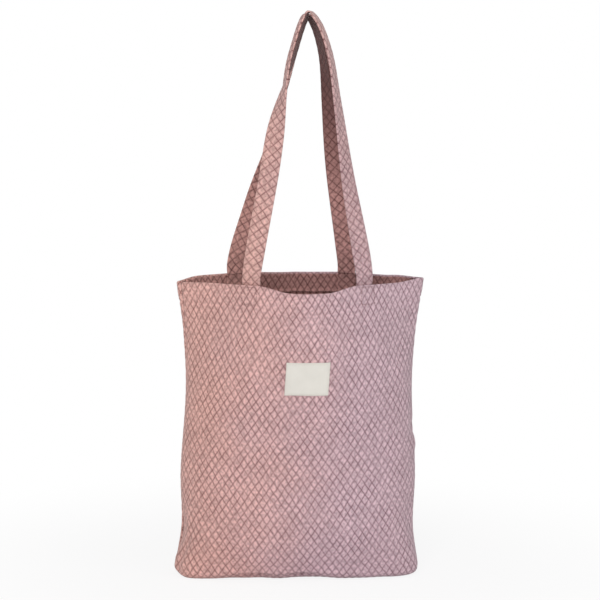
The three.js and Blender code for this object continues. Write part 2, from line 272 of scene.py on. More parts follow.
def waves(s, z, seed):
    """Long soft waves that run mostly downwards, from a few sines out of step."""
    w = np.zeros_like(s)
    for k, (across, up, share) in enumerate(((110, 600, 1.0), (67, 380, 0.6), (41, 170, 0.35))):
        phase = seed * 2.4 + k * 1.7
        sway = 0.35 * np.sin(z / (up * MM) * 6.3 + phase)
        w += share * np.sin(2 * np.pi * (s / (across * MM) + sway) + phase)
    return w


fold_places = ((-62 * MM, 22 * MM), (2 * MM, 20 * MM))     # centre and reach of each


def softness(side, s, z, under):
    """Distance out from the plain surface, for the cloth's own shape."""
    clear = smooth(0, 30 * MM, half - np.abs(s))               # nothing at the side seams
    below_rim = smooth(0, 60 * MM, rim_height(side, s) - z)
    out = 0.55 * MM * waves(s, z, 1 if side > 0 else 4) * clear * (0.3 + 0.7 * below_rim)
    for leg in (-1, 1):
        out += 1.6 * MM * bump_at(s, z, leg * strap_spacing / 2, bag_height - 24 * MM, 24 * MM, 46 * MM)
    # The row of stitching along the hem draws the cloth in, and the hem's edge lifts it below.
    down = rim_height(side, s) - z
    out -= 1.5 * MM * np.exp(-((down - hem_stitch_drop) / (1.5 * MM)) ** 2)
    out += 0.45 * MM * smooth(0, 6 * MM, down) * (1 - smooth(hem_depth - 3 * MM, hem_depth + 2 * MM, down))
    # The seam draws the cloth in along both sides, and along the bottom.
    out -= 0.9 * MM * np.exp(-((half - np.abs(s)) / (2.2 * MM)) ** 2)
    out -= 0.8 * MM * np.exp(-((1 - under) / 0.035) ** 2) * (under > 0)
    if side > 0:
        plain = out.copy()
        # ear at the lower left: a pinch, the crease that runs in from the floor, its bulge
        out -= 3.2 * MM * bump_at(s, z, -half + 10 * MM, 64 * MM, 15 * MM, 26 * MM)
        out -= 3.0 * MM * bump_at(s, z, -half + 24 * MM, 34 * MM, 5 * MM, 34 * MM, -0.35)
        out += 2.2 * MM * bump_at(s, z, -half + 7 * MM, 20 * MM, 12 * MM, 16 * MM)
        # dent and bulge on the right
        out -= 2.6 * MM * bump_at(s, z, half - 10 * MM, 201 * MM, 13 * MM, 9 * MM)
        out += 2.0 * MM * bump_at(s, z, half - 10 * MM, 180 * MM, 13 * MM, 10 * MM)
        out -= 1.6 * MM * bump_at(s, z, half - 22 * MM, 62 * MM, 9 * MM, 40 * MM, 0.25)
        # all of that fades where the cloth turns under
        out = plain + (out - plain) * (1 - smooth(0.1, 0.6, under))
        # two folds at the floor, each a hollow under a lip
        for s0, reach in fold_places:
            hollow = np.exp(-((s - s0) / reach) ** 2) * np.exp(-((under - 0.4) / 0.22) ** 2)
            out -= 7 * MM * hollow * (under > 0)
            out += 2.0 * MM * bump_at(s, z, s0, 26 * MM, 1.2 * reach, 8 * MM) * (under == 0)
    return out


def base_lift(side, s, z, under):
    """The front edge of the base stands off the floor where the cloth folds."""
    if side < 0:
        return 0 * s
    near_edge = 1 - smooth(0.3, 0.95, under)
    lift = 2.6 * MM * np.exp(-((s + 10 * MM) / (95 * MM)) ** 4)
    return lift * near_edge * (1 - smooth(8 * MM, 40 * MM, z))


# %% [markdown]
# ### Rows of the lattice
#
# The cloth is cut with its rows level, and then it hangs: between the straps the rows droop
# with the rim, and lower down they droop over the whole width. A pattern coordinate is the
# place on the flat cloth, so the droop is taken off the height.

# %% The place on the flat cloth


def droop(side, s, z):
    rim = bag_height - rim_height(side, s)
    whole = 10 * MM * np.cos(np.pi * s / (1.06 * cloth_width)) ** 2
    lower = smooth(0, 150 * MM, bag_height - z)
    return rim * (1 - lower) + whole * lower


under_steps = np.linspace(0, 1, 41)
under_line = outer_point(1, np.zeros(41), np.full(41, base_round), under_steps)
under_lengths = np.concatenate([[0], np.cumsum(np.linalg.norm(np.diff(under_line, axis=0), axis=1))])
wall_height = bag_height - base_round
under_length = under_lengths[-1]


def row_of(side, s, z, under):
    """Distance down the flat cloth from the rim line."""
    wall = bag_height - z - droop(side, s, np.maximum(z, base_round))
    below = wall_height - droop(side, s, 0 * z + base_round) + np.interp(under, under_steps, under_lengths)
    return np.where(under > 0, below, wall)


print("flat panel, mm:", round(cloth_width / MM), "by", round((wall_height + under_length) / MM))

# %% [markdown]
# ### Relief of the lattice
#
# The cloth puffs up a little in each diamond and is held down along the lines. Half a
# millimetre of real relief makes the light break over the diamonds, also at the outline.

# %% Puffed diamonds


def printed(s, row):
    """The place on the flat cloth in the lattice's own directions."""
    return s - off_grain * row, row


def puff(u, v, height, pitch=(diamond_width, diamond_height)):
    a = np.abs(np.sin(np.pi * (u / pitch[0] + v / pitch[1])))
    b = np.abs(np.sin(np.pi * (u / pitch[0] - v / pitch[1])))
    return height * np.sqrt(a * b)


# %% [markdown]
# ## Making a piece of cloth
#
# Every sheet starts as a flat grid from `bmesh.ops.create_grid`, which is what cut cloth is.
# A function then says where each point of the grid goes, and what its place on the flat
# cloth is, which becomes the UV. A Solidify modifier gives the ply its thickness inwards.

# %% A sheet from a grid


def read_points(mesh):
    flat = np.empty(len(mesh.vertices) * 3)
    mesh.vertices.foreach_get("co", flat)
    return flat.reshape(-1, 3)


def write_uv(mesh, per_vertex, name="cloth"):
    """Gives each corner of a face its vertex's place on the flat cloth, in metres."""
    corner = np.empty(len(mesh.loops), dtype=np.int32)
    mesh.loops.foreach_get("vertex_index", corner)
    layer = mesh.uv_layers.get(name) or mesh.uv_layers.new(name=name)
    layer.data.foreach_set("uv", per_vertex[corner].ravel())


def new_object(name, mesh, materials):
    """A piece is called after its node in the model, with _sewn added."""
    piece = bpy.data.objects.new(name.replace(" ", "_") + "_sewn", mesh)
    bpy.context.scene.collection.objects.link(piece)
    for material in materials:
        mesh.materials.append(material)
    mesh.polygons.foreach_set("use_smooth", np.ones(len(mesh.polygons), dtype=bool))
    mesh.update()
    return piece


def sheet_piece(name, columns, rows, place, materials, thickness=0.0, back=0):
    """A grid bent by place(across, along), which gives points and UVs. Both run 0 to 1."""
    bm = bmesh.new()
    bmesh.ops.create_grid(bm, x_segments=columns, y_segments=rows, size=0.5)
    mesh = bpy.data.meshes.new(name)
    bm.to_mesh(mesh)
    bm.free()
    flat = read_points(mesh) + 0.5
    points, uv = place(flat[:, 0], flat[:, 1])
    mesh.vertices.foreach_set("co", points.ravel())
    write_uv(mesh, uv)
    piece = new_object(name, mesh, materials)
    if thickness:
        ply = piece.modifiers.new("ply", "SOLIDIFY")
        ply.thickness = thickness
        ply.offset = -1
        ply.material_offset = back
        ply.material_offset_rim = 0
    return piece


def stands_for(piece, body, slot, *nodes):
    """The lines that every rigid piece needs."""
    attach(piece, body)
    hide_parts(*nodes)
    return piece


# %% [markdown]
# ## Finishes
#
# The cloth is woven cotton with a lattice printed and pressed into it. To the eye that is a
# matt, slightly fuzzy surface, thin darker lines, a small darker fleck in each diamond, and
# colour that is slowly uneven. Painted on top are a shade that darkens each diamond towards
# its lines, and a tint of light, warm pink on the left and above, cool on the right and below.
# Inside the mouth and on the straps' inner faces the cloth is given darker colours as painted
# shade.

# %% Node and colour helpers


def linear(hex_colour):
    """sRGB hex to a linear colour with alpha."""
    values = [int(hex_colour[i:i + 2], 16) / 255 for i in (1, 3, 5)]
    values = [v / 12.92 if v <= 0.04045 else ((v + 0.055) / 1.055) ** 2.4 for v in values]
    return (*values, 1.0)


def add_node(tree, kind, links=None, **settings):
    """Adds a node. settings are its properties, links its sockets: a value or an output."""
    node = tree.nodes.new(kind)
    for key, value in settings.items():
        setattr(node, key, value)
    for key, value in (links or {}).items():
        socket = node.inputs[key]
        if isinstance(value, bpy.types.NodeSocket):
            tree.links.new(value, socket)
        else:
            socket.default_value = value
    return node


def new_material(name, roughness):
    material = bpy.data.materials.new(name)
    material.use_nodes = True
    tree = material.node_tree
    shader = tree.nodes["Principled BSDF"]
    shader.inputs["Roughness"].default_value = roughness
    shader.inputs["Specular IOR Level"].default_value = 0.3
    return material, tree, shader


# %% [markdown]
# ### Lattice cloth
#
# The lines of the lattice are where `u + v` or `u - v` is a whole number, with `u` and `v`
# counted in diamonds over the flat cloth. Real printed lines waver and fade, so the place
# is shifted a little by noise, and their strength varies.

# %% Lattice cloth, its copy with painted shade, and the lattice turned for the straps


def lattice_cloth(name, warm, cool, line_warm, line_cool, pitch=(diamond_width, diamond_height),
                  painted_shade_upwards=False):
    material, tree, shader = new_material(name, 0.92)
    shader.inputs["Sheen Weight"].default_value = 0.18
    shader.inputs["Sheen Roughness"].default_value = 0.5

    def math_node(operation, a, b=0.0, c=0.0):
        node = add_node(tree, "ShaderNodeMath", {0: a, 1: b, 2: c}, operation=operation)
        return node.outputs[0]

    def ramp(value, low, high, to_low=0.0, to_high=1.0):
        node = add_node(tree, "ShaderNodeMapRange", {
            "Value": value, "From Min": low, "From Max": high, "To Min": to_low, "To Max": to_high,
        }, interpolation_type="SMOOTHSTEP")
        return node.outputs["Result"]

    place = add_node(tree, "ShaderNodeUVMap", uv_map="cloth").outputs["UV"]
    here = add_node(tree, "ShaderNodeTexCoord").outputs["Object"]

    # the lines waver by about half a millimetre
    waver = add_node(tree, "ShaderNodeTexNoise", {"Vector": here, "Scale": 70.0, "Detail": 1.0})
    shift = add_node(tree, "ShaderNodeVectorMath", {0: waver.outputs["Color"], 1: (0.5, 0.5, 0.5)},
                     operation="SUBTRACT")
    shifted = add_node(tree, "ShaderNodeVectorMath", {
        0: shift.outputs[0], 1: (2.4 * MM, 2.4 * MM, 0.0), 2: place}, operation="MULTIPLY_ADD")
    part = add_node(tree, "ShaderNodeSeparateXYZ", {0: shifted.outputs[0]})
    u = math_node("DIVIDE", part.outputs["X"], pitch[0])
    v = math_node("DIVIDE", part.outputs["Y"], pitch[1])

    def from_line(value):
        """0 on a line, 0.5 half way between two."""
        inside = math_node("FRACT", value)
        return math_node("SUBTRACT", 0.5, math_node("ABSOLUTE", math_node("SUBTRACT", inside, 0.5)))

    rising = from_line(math_node("ADD", u, v))
    falling = from_line(math_node("SUBTRACT", u, v))
    nearest = math_node("MINIMUM", rising, falling)

    strength = add_node(tree, "ShaderNodeTexNoise", {"Vector": here, "Scale": 45.0, "Detail": 2.0})
    strong = ramp(strength.outputs["Fac"], 0.3, 0.7, 0.66, 1.0)
    line = math_node("MULTIPLY", ramp(nearest, 0.02, 0.075, 1.0, 0.0), strong)
    # painted shade: each diamond darkens towards its lines, where the puffed cloth dips
    edge = ramp(nearest, 0.0, 0.38, 0.30, 0.0)
    fleck_far = math_node("MAXIMUM", math_node("SUBTRACT", 0.5, rising), math_node("SUBTRACT", 0.5, falling))
    fleck = ramp(fleck_far, 0.03, 0.09, 0.30, 0.0)

    # painted light tint: warm on the left and above, cool on the right and below, with a slow unevenness of
    # the cloth's own
    parts = add_node(tree, "ShaderNodeSeparateXYZ", {0: here}).outputs
    side = parts["X"]
    uneven = add_node(tree, "ShaderNodeTexNoise", {"Vector": here, "Scale": 9.0, "Detail": 2.0})
    drift = math_node("MULTIPLY_ADD", math_node("SUBTRACT", uneven.outputs["Fac"], 0.5), 0.12, side)
    drift = math_node("MULTIPLY_ADD", parts["Z"], -0.12, drift)
    cool_share = ramp(drift, -0.20, 0.08)
    ground = add_node(tree, "ShaderNodeMix", {"Factor": cool_share, "A": linear(warm), "B": linear(cool)},
                      data_type="RGBA")
    ink = add_node(tree, "ShaderNodeMix", {"Factor": cool_share, "A": linear(line_warm),
                                           "B": linear(line_cool)}, data_type="RGBA")
    # a heathered ground: flecks a few millimetres across, far coarser than real threads
    heather = add_node(tree, "ShaderNodeTexNoise", {"Vector": here, "Scale": 300.0, "Detail": 4.0})
    cloudy = add_node(tree, "ShaderNodeTexNoise", {"Vector": here, "Scale": 28.0, "Detail": 3.0})
    light = math_node("MULTIPLY", ramp(heather.outputs["Fac"], 0.3, 0.7, 0.76, 1.24),
                      ramp(cloudy.outputs["Fac"], 0.25, 0.75, 0.95, 1.05))
    toned = add_node(tree, "ShaderNodeVectorMath", {0: ground.outputs["Result"], "Scale": light},
                     operation="SCALE")
    darker = math_node("MINIMUM", math_node("ADD", math_node("MAXIMUM", line, edge), fleck), 1.0)
    colour = add_node(tree, "ShaderNodeMix", {"Factor": darker, "A": toned.outputs[0],
                                              "B": ink.outputs["Result"]}, data_type="RGBA")
    shown = colour.outputs["Result"]
    if painted_shade_upwards:
        # painted shade, darker from 440 mm up to the peak, where the straps' inner faces lie in shade; the
        # cloth itself has no such darkening; darker from 440 mm up to the peak: a shade chosen by eye,
        # with no cause behind it
        share = ramp(parts["Z"], 0.44, 0.68, 0.0, 0.8)
        painted_shade_mix = add_node(tree, "ShaderNodeMix", {"Factor": share, "A": shown, "B": linear("#4b2524")},
                          data_type="RGBA")
        shown = painted_shade_mix.outputs["Result"]
    tree.links.new(shown, shader.inputs["Base Color"])

    # the line is pressed in, and the weave is felt between the lines
    weave = math_node("MULTIPLY", math_node("SUBTRACT", heather.outputs["Fac"], 0.5), 0.35)
    height = math_node("SUBTRACT", weave, ramp(nearest, 0.0, 0.12, 1.0, 0.0))
    bump = add_node(tree, "ShaderNodeBump", {"Height": height, "Distance": 0.35 * MM, "Strength": 0.6})
    tree.links.new(bump.outputs[0], shader.inputs["Normal"])
    return material


face_colours = ("#dcaea4", "#cbb0b8", "#74403c", "#6b4450")
# painted shade: darker colours for the inside of the mouth, the hems, the seams and the straps' inner faces
painted_shade_colours = ("#c9988f", "#b98a86", "#4f2523", "#452120")
cloth = lattice_cloth("printed cotton, face", *face_colours)
painted_shade_cloth = lattice_cloth("printed cotton, painted shade inside", *painted_shade_colours)
strap_colours = ("#d8ab9f", "#c1a4a9", "#74423f", "#6b4450")
strap_cloth = lattice_cloth("strap cotton, outer face", *strap_colours, pitch=strap_diamond)
strap_painted_shade = lattice_cloth("strap cotton, inner face, painted shade", *painted_shade_colours, pitch=strap_diamond,
                              painted_shade_upwards=True)
print("cloths:", [m.name for m in bpy.data.materials if "cotton" in m.name])

# %% [markdown]
# ### Thread and label
#
# Sewing thread is two plies twisted, with a soft shine. The label is woven so tightly that
# it only shows fine ribs, and it is left blank.

# %% Thread and woven label


def thread_material(name, colour):
    material, tree, shader = new_material(name, 0.6)
    here = add_node(tree, "ShaderNodeTexCoord").outputs["Object"]
    # the twist of the plies, a turn every 0.8 mm
    twist = add_node(tree, "ShaderNodeTexWave", {"Vector": here, "Scale": 1 / (0.8 * MM) / 6.3,
                                                 "Distortion": 1.0}, bands_direction="DIAGONAL")
    shade = add_node(tree, "ShaderNodeMapRange", {"Value": twist.outputs["Fac"], "To Min": 0.82,
                                                  "To Max": 1.05})
    toned = add_node(tree, "ShaderNodeVectorMath", {0: linear(colour)[:3],
                                                    "Scale": shade.outputs["Result"]}, operation="SCALE")
    tree.links.new(toned.outputs[0], shader.inputs["Base Color"])
    shader.inputs["Sheen Weight"].default_value = 0.2
    return material


def label_material():
    material, tree, shader = new_material("woven satin label", 0.7)
    place = add_node(tree, "ShaderNodeUVMap", uv_map="cloth").outputs["UV"]
    # ribs 0.7 mm apart, about twice as coarse as a real label's
    ribs = add_node(tree, "ShaderNodeTexWave", {"Vector": place, "Scale": 1 / (0.7 * MM) / 6.3,
                                                "Distortion": 0.4, "Detail": 1.0}, bands_direction="Y")
    cloudy = add_node(tree, "ShaderNodeTexNoise", {"Vector": place, "Scale": 60.0})
    both = add_node(tree, "ShaderNodeMath", {0: ribs.outputs["Fac"], 1: cloudy.outputs["Fac"]},
                    operation="ADD")
    shade = add_node(tree, "ShaderNodeMapRange", {"Value": both.outputs[0], "From Min": 0.2,
                                                  "From Max": 1.6, "To Min": 0.0, "To Max": 1.0})
    colour = add_node(tree, "ShaderNodeMix", {"Factor": shade.outputs["Result"], "A": linear("#d3d0c7"),
                                              "B": linear("#e3e0d8")}, data_type="RGBA")
    tree.links.new(colour.outputs["Result"], shader.inputs["Base Color"])
    bump = add_node(tree, "ShaderNodeBump", {"Height": ribs.outputs["Fac"], "Distance": 0.1 * MM,
                                             "Strength": 0.4})
    tree.links.new(bump.outputs[0], shader.inputs["Normal"])
    return material


thread = thread_material("sewing thread, pink", "#845c58")
label_thread = thread_material("sewing thread, off-white", "#e4dfd5")
label_cloth = label_material()

# %% [markdown]
# ## The panels
#
# Each panel is one sheet from the bottom seam up the wall, over the rim and a little way
# down inside, where its hem takes over. Making the fold part of the sheet gives the rim its
# round, slightly bright edge.

# %% Front and back panels
edge_gap = 0.2 * MM              # each panel stops this far short of its side seams
fold_length = math.pi * fold_radius
grid_step = 2.0 * MM


def on_surface(side, s, z, under, out):
    """A point of the bag with the cloth's own shape added, a distance out from the face."""
    away = softness(side, s, z, under) + out
    points = outer_point(side, s, z, under) + outward(side, s, z, under) * away[:, None]
    points[:, 2] += base_lift(side, s, z, under)
    points[:, 2] = np.maximum(points[:, 2], 0.05 * MM)
    return points


def panel_place(side):
    def place(across, along):
        s = (across * 2 - 1) * (half - edge_gap)
        q = along * (under_length + wall_height + fold_length)
        under = np.clip(1 - q / under_length, 0, 1)
        climbed = np.clip((q - under_length) / wall_height, 0, 1)
        turn = np.clip((q - under_length - wall_height) / fold_radius, 0, np.pi)
        top = rim_height(side, s) - fold_radius
        z = base_round + (top - base_round) * climbed
        row = row_of(side, s, z, under) - turn * fold_radius
        calm = np.cos(turn) > 0.99
        u, v = printed(s, row)
        out = puff(u, v, 0.45 * MM) * np.where(calm, 1, 0.5)
        points = on_surface(side, s, z, under, out - fold_radius * (1 - np.cos(turn)))
        points[:, 2] += fold_radius * np.sin(turn)
        seam = under > 0.999
        points[seam, 1] = -side * edge_gap
        return points, np.stack([u, v], axis=-1)
    return place


panel_flat = (cloth_width, wall_height + under_length + fold_length)
columns = round(cloth_width / grid_step)
rows = round(panel_flat[1] / grid_step)
for where, side in (("front", 1), ("back", -1)):
    piece = sheet_piece(where + " panel", columns, rows, panel_place(side), [cloth, painted_shade_cloth],
                        cloth_thickness, back=1)
    stands_for(piece, "bag", "cloth", where + "_panel")
print("a panel's grid:", columns, "by", rows)

# %% [markdown]
# ## The hems
#
# The cloth that was turned over the rim runs on down inside the mouth for 28 mm and is
# stitched. What shows is the face, turned inwards, but it wears the darker colours of the
# inside here, because the mouth is in shade.

# %% Turned-down hems
hem_corner_gap = 13 * MM


def hem_place(side):
    def place(across, along):
        s = -(half - hem_corner_gap) + across * (2 * (half - hem_corner_gap) - mouth_creep)
        down = fold_radius + along * (hem_depth - fold_radius)
        z = rim_height(side, s) - down
        row = -fold_length - (down - fold_radius)
        u, v = printed(s, row)
        out = -hem_face - puff(u, v, 0.3 * MM) + 0.3 * MM
        return on_surface(side, s, z, 0 * s, out), np.stack([u, v], axis=-1)
    return place


for where, side in (("front", 1), ("back", -1)):
    piece = sheet_piece(where + " hem", 170, 14, hem_place(side), [painted_shade_cloth], hem_ply)
    stands_for(piece, "bag", "cloth_inside", where + "_hem")

# %% [markdown]
# ## Seam allowances inside
#
# Where the panels join, both raw edges are pressed to one side and whipped over with thread.
# They are narrow ribbons that lie on a panel, a little uneven.

# %% Side and bottom seam allowances
seam_allowance = 9 * MM
seam_plies = 2.6 * MM


def side_seam_place(side):
    def place(across, along):
        s = -half + edge_gap + across * seam_allowance
        top = bag_height - hem_depth - 1 * MM
        bottom = base_round + seam_allowance
        z = top + (bottom - top) * along
        ripple = 0.3 * MM * np.sin(z / (9 * MM)) * across
        out = -cloth_thickness - ply_gap - 0.3 * MM - seam_plies * 0.8 - ripple
        return on_surface(side, s, z, 0 * s, out), np.stack([s, z], axis=-1)
    return place


for name, side in (("left side seam", 1), ("right side seam", -1)):
    piece = sheet_piece(name, 5, 120, side_seam_place(side), [painted_shade_cloth], seam_plies * 0.7)
    stands_for(piece, "bag", "cloth_inside", name.replace(" ", "_"))


def bottom_seam_place(across, along):
    s = (across * 2 - 1) * 0.88 * half
    under = 0.992 + (0.955 - 0.992) * (1 - along)
    ripple = 0.25 * MM * np.sin(s / (8 * MM))
    out = 0 * s - cloth_thickness - ply_gap - seam_plies * 0.8 + ripple
    return on_surface(1, s, 0 * s + base_round, under, out), np.stack([s, under * under_length], axis=-1)


piece = sheet_piece("bottom seam", 160, 4, lambda a, b: bottom_seam_place(a, 1 - b), [painted_shade_cloth],
                    seam_plies * 0.7)
stands_for(piece, "bag", "cloth_inside", "bottom_seam")

# %% [markdown]
# ## Straps
#
# A strap is one strip folded into four plies. Its section is a rounded rectangle, so the
# grid is wrapped round that section and its two edges are merged. The strap leaves the mouth
# upright, leans in, and turns until at its peak it is nearly edge-on.

# %% The section of a strap
edge_round = strap_thickness / 2


def strap_section(t):
    """Across and out for t from 0 to 1 round the section, starting at the left edge."""
    flat = strap_width - strap_thickness
    turn_length = math.pi * edge_round
    d = np.mod(t, 1.0) * 2 * (flat + turn_length)
    right = (d >= flat) & (d < flat + turn_length)
    inner = (d >= flat + turn_length) & (d < 2 * flat + turn_length)
    turn = np.where(right, d - flat, d - 2 * flat - turn_length) / edge_round
    across = np.select([d < flat, right, inner], [
        d - flat / 2, flat / 2 + edge_round * np.sin(turn), flat * 1.5 + turn_length - d,
    ], -flat / 2 - edge_round * np.sin(turn))
    out = np.select([d < flat, right, inner], [
        0 * d + edge_round, edge_round * np.cos(turn), 0 * d - edge_round,
    ], -edge_round * np.cos(turn))
    return across, out


def strap_piece(name, rows, place, materials):
    """A grid wrapped round the strap's section. place(across, out, along) gives points and
    the distance along the strap. The face that looks into the loop gets the second finish."""
    bm = bmesh.new()
    bmesh.ops.create_grid(bm, x_segments=44, y_segments=rows, size=0.5)
    mesh = bpy.data.meshes.new(name)
    bm.to_mesh(mesh)
    flat = read_points(mesh) + 0.5
    across, out = strap_section(flat[:, 0])
    points, distance = place(across, out, flat[:, 1])
    mesh.vertices.foreach_set("co", points.ravel())
    write_uv(mesh, np.stack([across, distance], axis=-1))
    corners = np.empty(len(mesh.loops), dtype=np.int32)
    mesh.loops.foreach_get("vertex_index", corners)
    looks_in = out[corners.reshape(-1, 4)].mean(axis=1) < -0.2 * edge_round
    mesh.polygons.foreach_set("material_index", looks_in.astype(np.int32))
    bm.clear()
    bm.from_mesh(mesh)
    bmesh.ops.remove_doubles(bm, verts=bm.verts, dist=0.02 * MM)
    bmesh.ops.holes_fill(bm, edges=[e for e in bm.edges if e.is_boundary], sides=0)
    bmesh.ops.recalc_face_normals(bm, faces=bm.faces)
    bm.to_mesh(mesh)
    bm.free()
    return new_object(name, mesh, materials)


# %% The route of a handle
# Each leg: the share of its spread left at a share of the rise, and the stretch, in shares of
# the leg, over which the strap turns edge-on.
hang = {
    ("front", "left"): (((0.704, 0.4), (0.513, 0.652), (0.255, 0.86), (0.0855, 0.97)), (0.42, 0.85)),
    ("front", "right"): (((0.7, 0.4), (0.525, 0.652), (0.36, 0.86), (0.15, 0.97)), (-0.2, 0.9)),
    ("back", "left"): (((0.75, 0.27), (0.49, 0.494), (0.35, 0.67), (0.2, 0.86)), (0.25, 0.85)),
    ("back", "right"): (((0.7, 0.4), (0.525, 0.652), (0.36, 0.86), (0.15, 0.97)), (0.25, 0.9)),
}
upright_root = 14 * MM
squaring, squared_by = 0.8, 0.16   # a leg turns nearly square to the front above the rim
strap_middle = -(2 * MM + 2 * ply_gap + hem_ply + strap_thickness / 2)


def leg_place(side, leg):
    if side > 0:
        return leg * strap_spacing / 2
    return leg * (strap_spacing + back_spread) / 2 + back_leg_shift


def leg_root(side, leg):
    """Where a leg leaves the mouth, and the plan angle of its width there."""
    s = np.array([leg_place(side, leg)])
    z = rim_height(side, s)
    normal = outward(side, s, z, 0 * s)[0]
    point = outer_point(side, s, z, 0 * s)[0] + normal * strap_middle
    point[2] -= 0.6 * MM         # just into the sewn end, so that no gap shows
    return point, math.atan2(normal[0], -normal[1])


def smooth_route(points, steps):
    """A centripetal Catmull-Rom curve through the points, with steps per span."""
    points = np.array(points)
    points = np.vstack([2 * points[0] - points[1], points, 2 * points[-1] - points[-2]])
    route = []
    for i in range(1, len(points) - 2):
        p0, p1, p2, p3 = points[i - 1:i + 3]
        d0, d1, d2 = (math.sqrt(np.linalg.norm(b - a)) for a, b in ((p0, p1), (p1, p2), (p2, p3)))
        m1 = d1 * ((p1 - p0) / d0 - (p2 - p0) / (d0 + d1) + (p2 - p1) / d1)
        m2 = d1 * ((p2 - p1) / d1 - (p3 - p1) / (d1 + d2) + (p3 - p2) / d2)
        for t in np.linspace(0, 1, steps, endpoint=False):
            route.append(p1 * (2 * t**3 - 3 * t**2 + 1) + m1 * (t**3 - 2 * t**2 + t)
                         + p2 * (3 * t**2 - 2 * t**3) + m2 * (t**3 - t**2))
    route.append(points[-2])
    return np.array(route)


def handle_route(where, side):
    drop = 0 if side > 0 else back_peak_drop
    left, left_angle = leg_root(side, -side)
    right, right_angle = leg_root(side, side)
    top = (left[2] + right[2]) / 2 + 0.8 * MM + handle_rise - drop - strap_thickness / 2
    peak = np.array([peak_shift, -side * (strap_width + peak_gap) / 2, top])

    def leg_points(hand, root):
        upright = root + np.array([0, 0, upright_root])
        return [root, upright] + [np.array([
            peak[0] + (root[0] - peak[0]) * spread,
            root[1] + (peak[1] - root[1]) * rise,
            root[2] + (peak[2] - root[2]) * rise,
        ]) for spread, rise in hang[where, hand][0]]

    route = smooth_route(leg_points("left", left) + [peak] + leg_points("right", right)[::-1], 60)
    steps = np.linalg.norm(np.diff(route, axis=0), axis=1)
    return route, np.concatenate([[0], np.cumsum(steps)]), left_angle, right_angle - math.pi


# %% [markdown]
# ### Bending the strap round the route
#
# The width direction is what turns: at each root it lies along the panel, at the peak it is
# 18 degrees off straight to the front. The rest of the strap's frame follows from that and
# from the route's direction. A soft strap also cups a little across its width.
#
# Both handles hang on a hinge at the rim, but cloth has no pin. The strap's lowest part
# blends from the bag to the handle.


def handle_place(where, side):
    route, length, left_angle, right_angle = handle_route(where, side)
    total = length[-1]
    at_peak = -np.pi / 2 - side * peak_turn

    def at(distance):
        return np.stack([np.interp(distance, length, route[:, k]) for k in range(3)], axis=-1)

    def place(across, out, along):
        distance = along * total
        tangent = at(distance + 3 * MM) - at(distance - 3 * MM)
        tangent /= np.linalg.norm(tangent, axis=1)[:, None]
        from_root = 1 - np.abs(2 * along - 1)
        at_root = np.where(along < 0.5, left_angle, right_angle)
        facing = np.round(at_root / np.pi) * np.pi          # square to the front
        settled = smooth(0, squared_by, from_root)
        turned = np.where(along < 0.5, smooth(*hang[where, "left"][1], from_root),
                          smooth(*hang[where, "right"][1], from_root))
        angle = at_root + (facing - at_root) * squaring * settled
        angle += (at_peak - angle) * turned * settled
        width = np.stack([np.cos(angle), np.sin(angle), 0 * angle], axis=-1)
        width -= tangent * np.sum(width * tangent, axis=1)[:, None]
        width /= np.linalg.norm(width, axis=1)[:, None]
        normal = np.cross(width, tangent)
        free = smooth(0.02, 0.2, from_root)
        on_a_face = np.abs(out) > edge_round * 0.9
        relief = puff(across, distance, 0.25 * MM, strap_diamond) * np.sign(out) * on_a_face
        cupped = -0.5 * MM * (across / (strap_width / 2)) ** 2 * free
        points = at(distance) + width * across[:, None] + normal * (out + relief + cupped)[:, None]
        return points, distance

    return place, total


for where, side in (("front", 1), ("back", -1)):
    place, total = handle_place(where, side)
    piece = strap_piece(where + " handle", round(total / grid_step), place, [strap_cloth, strap_painted_shade])
    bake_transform(piece)
    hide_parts(where + "_handle")
    print(where, "handle, mm of strap:", round(total / MM))

# %% [markdown]
# ## Sewn ends
#
# The last 28 mm of each strap is inside the mouth, flat on the hem, with a stitched box
# through all the plies. It doesn't move with the handle, so it is its own piece.

# %% Four sewn ends
legs = [(where, side, hand, leg) for where, side in (("front", 1), ("back", -1))
        for hand, leg in (("left", -side), ("right", side))]


def sewn_end_place(side, leg):
    def place(across, out, along):
        s = leg_place(side, leg) + across
        down = 0.2 * MM + (1 - along) * (hem_depth - 0.2 * MM)
        points = on_surface(side, s, rim_height(side, s) - down, 0 * s, strap_middle + out)
        return points, along * hem_depth
    return place


for where, side, hand, leg in legs:
    name = f"{where} {hand} handle end"
    piece = strap_piece(name, 14, sewn_end_place(side, leg), [strap_cloth, strap_painted_shade])
    stands_for(piece, "bag", "cloth_inside", name.replace(" ", "_"))

# %% [markdown]
# ## Stitching
#
# A stitch is a short thread pulled down into the cloth at both ends, so each one is a small
# ball drawn out along its row. The rows are laid out on the flat cloth, in distance across
# and distance down from the rim, and then go through the same surface as the panel.

# %% Rows of stitches
stitch_size = (2.5 * MM, 0.75 * MM, 0.55 * MM)
stitch_gap = 0.6 * MM
stitch_lift = 0.42 * MM
stitch_points = 12              # of the ball that a stitch is made from


def stitch_row(bm, first, last):
    """Stitches on the flat cloth from one place (across, down) to another."""
    run = Vector(last) - Vector(first)
    count = max(round(run.length / (stitch_size[0] + stitch_gap)), 1)
    spacing = run.length / count
    turn = math.atan2(run.y, run.x)
    for k in range(count):
        middle = Vector(first) + run * ((k + 0.5) / count)
        ball = bmesh.ops.create_icosphere(bm, subdivisions=1, radius=0.5)["verts"]
        bmesh.ops.scale(bm, vec=(spacing - stitch_gap, stitch_size[1], stitch_size[2]), verts=ball)
        bmesh.ops.rotate(bm, cent=(0, 0, 0), matrix=Matrix.Rotation(turn, 3, "Z"), verts=ball)
        bmesh.ops.translate(bm, vec=(middle.x, middle.y, 0), verts=ball)


